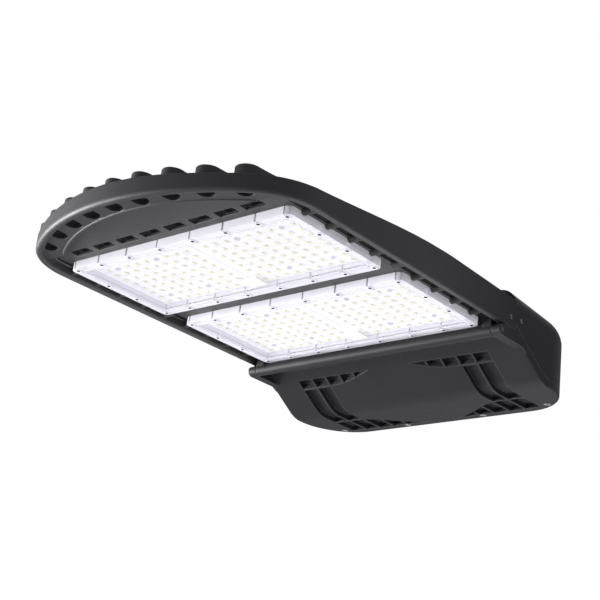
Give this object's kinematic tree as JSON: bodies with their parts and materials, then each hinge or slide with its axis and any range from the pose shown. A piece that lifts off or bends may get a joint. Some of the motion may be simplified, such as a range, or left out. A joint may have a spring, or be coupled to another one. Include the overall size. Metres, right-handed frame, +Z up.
{
  "type": "led area light head",
  "caption": "Flat paddle-shaped cast LED area light head with two clear LED modules underneath, air slots, top fins and a hinged driver door at the mounting end.",
  "frame": {"origin": "centre of the rear mounting face, between its four bolt holes", "axes": "+Y out of the rear mounting face towards the arm or pole, so the light's tip points along -Y; +Z up, so the light shines along -Z; X across"},
  "size_m": [0.336, 0.5405, 0.087],
  "materials": {
    "black_casting": "satin powder coat with a fine texture",
    "screw_steel": "stainless steel screws and pins",
    "door_seal": "foam seal cord",
    "clear_cover": "clear polycarbonate",
    "cover_seal": "light silicone",
    "board_white": "white solder mask on an aluminium core",
    "led_yellow": "pale yellow phosphor",
    "socket_white": "white moulded plastic",
    "driver_case": "bare extruded case",
    "tray_sheet": "zinc plated sheet",
    "surge_blue": "potted plastic case",
    "earth_green": "green lacquer",
    "bush_black": "moulded rubber"
  },
  "bodies": {
    "body": {"housing": "black_casting", "hinge_pins": "screw_steel", "front_lens": "clear_cover", "rear_lens": "clear_cover", "front_lens_gasket": "cover_seal", "rear_lens_gasket": "cover_seal", "front_lens_screws": "screw_steel", "rear_lens_screws": "screw_steel", "front_left_board": "board_white", "front_right_board": "board_white", "rear_left_board": "board_white", "rear_right_board": "board_white", "front_leds": "led_yellow", "rear_leds": "led_yellow", "board_screws": "screw_steel", "lead_sockets": "socket_white", "driver": "driver_case", "driver_tray": "tray_sheet", "driver_screws": "screw_steel", "tray_screws": "screw_steel", "surge_protector": "surge_blue", "terminal_block": "socket_white", "earth_screw": "earth_green", "wire_bush": "bush_black", "lead_grommet": "bush_black", "side_screws": "screw_steel"},
    "door": {"driver_door": "black_casting", "door_gasket": "door_seal", "door_screws": "screw_steel"}
  },
  "joints": [
    {"name": "door_hinge", "type": "hinge", "parent": "body", "child": "door", "pos_m": [0, -0.153, -0.0005], "axis": [-1, 0, 0], "range_deg": [0, 95]}
  ]
}
